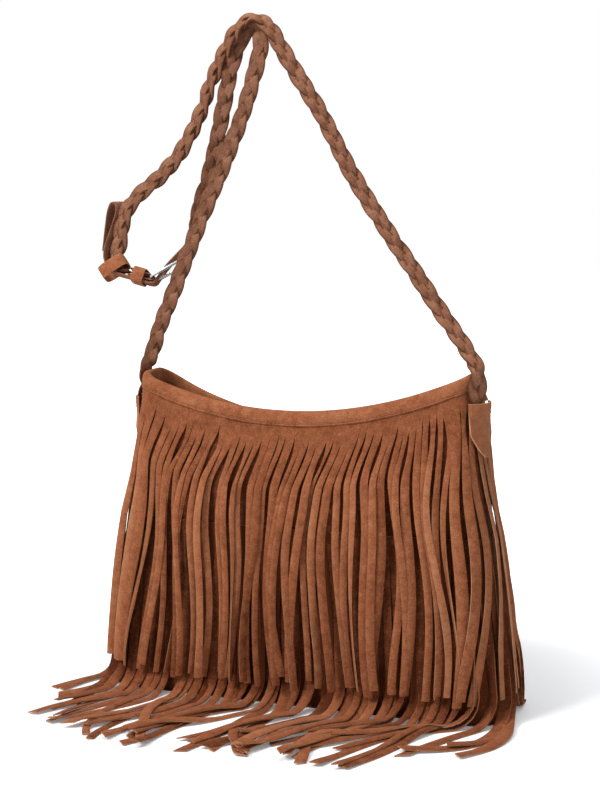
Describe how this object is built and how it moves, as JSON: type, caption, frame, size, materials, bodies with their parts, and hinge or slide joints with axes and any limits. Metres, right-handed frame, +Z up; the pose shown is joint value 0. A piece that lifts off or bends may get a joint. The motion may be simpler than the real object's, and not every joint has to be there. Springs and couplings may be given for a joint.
{
  "type": "fringed suede shoulder bag",
  "caption": "Suede shoulder bag with a bound, sagging mouth, layers of cut fringe that reach and trail on the floor, and a plaited strap joined by a small prong buckle.",
  "frame": {"origin": "middle of the underside of the base, on the floor", "axes": "+Z up, X along the mouth with + to the right seen from the front, the front faces -Y"},
  "size_m": [0.4961, 0.3364, 0.5969],
  "materials": {
    "suede": "matt napped suede",
    "lining": "plain twill",
    "steel": "polished plating"
  },
  "bodies": {
    "bag": {"front_panel": "suede", "back_panel": "suede", "base_panel": "suede", "rim_binding": "suede", "front_upper_fringe": "suede", "back_upper_fringe": "suede", "front_lower_fringe": "suede", "back_lower_fringe": "suede", "right_strap_tab": "suede", "left_strap_tab": "suede", "long_plait": "suede", "short_plait": "suede", "tongue_strap": "suede", "buckle_fold": "suede", "fixed_keeper": "suede", "lining": "lining", "buckle_frame": "steel"},
    "prong": {"buckle_prong": "steel"},
    "keeper": {"loose_keeper": "suede"}
  },
  "joints": [
    {"name": "prong_turn", "type": "hinge", "parent": "bag", "child": "prong", "pos_m": [-0.1535, 0.01, 0.366], "axis": [-0.1816, 0.9305, -0.318], "range_deg": [0, 60]},
    {"name": "keeper_slide", "type": "slide", "parent": "bag", "child": "keeper", "axis": [0.9621, 0.1013, -0.2532], "range_m": [0, 0.006]}
  ]
}
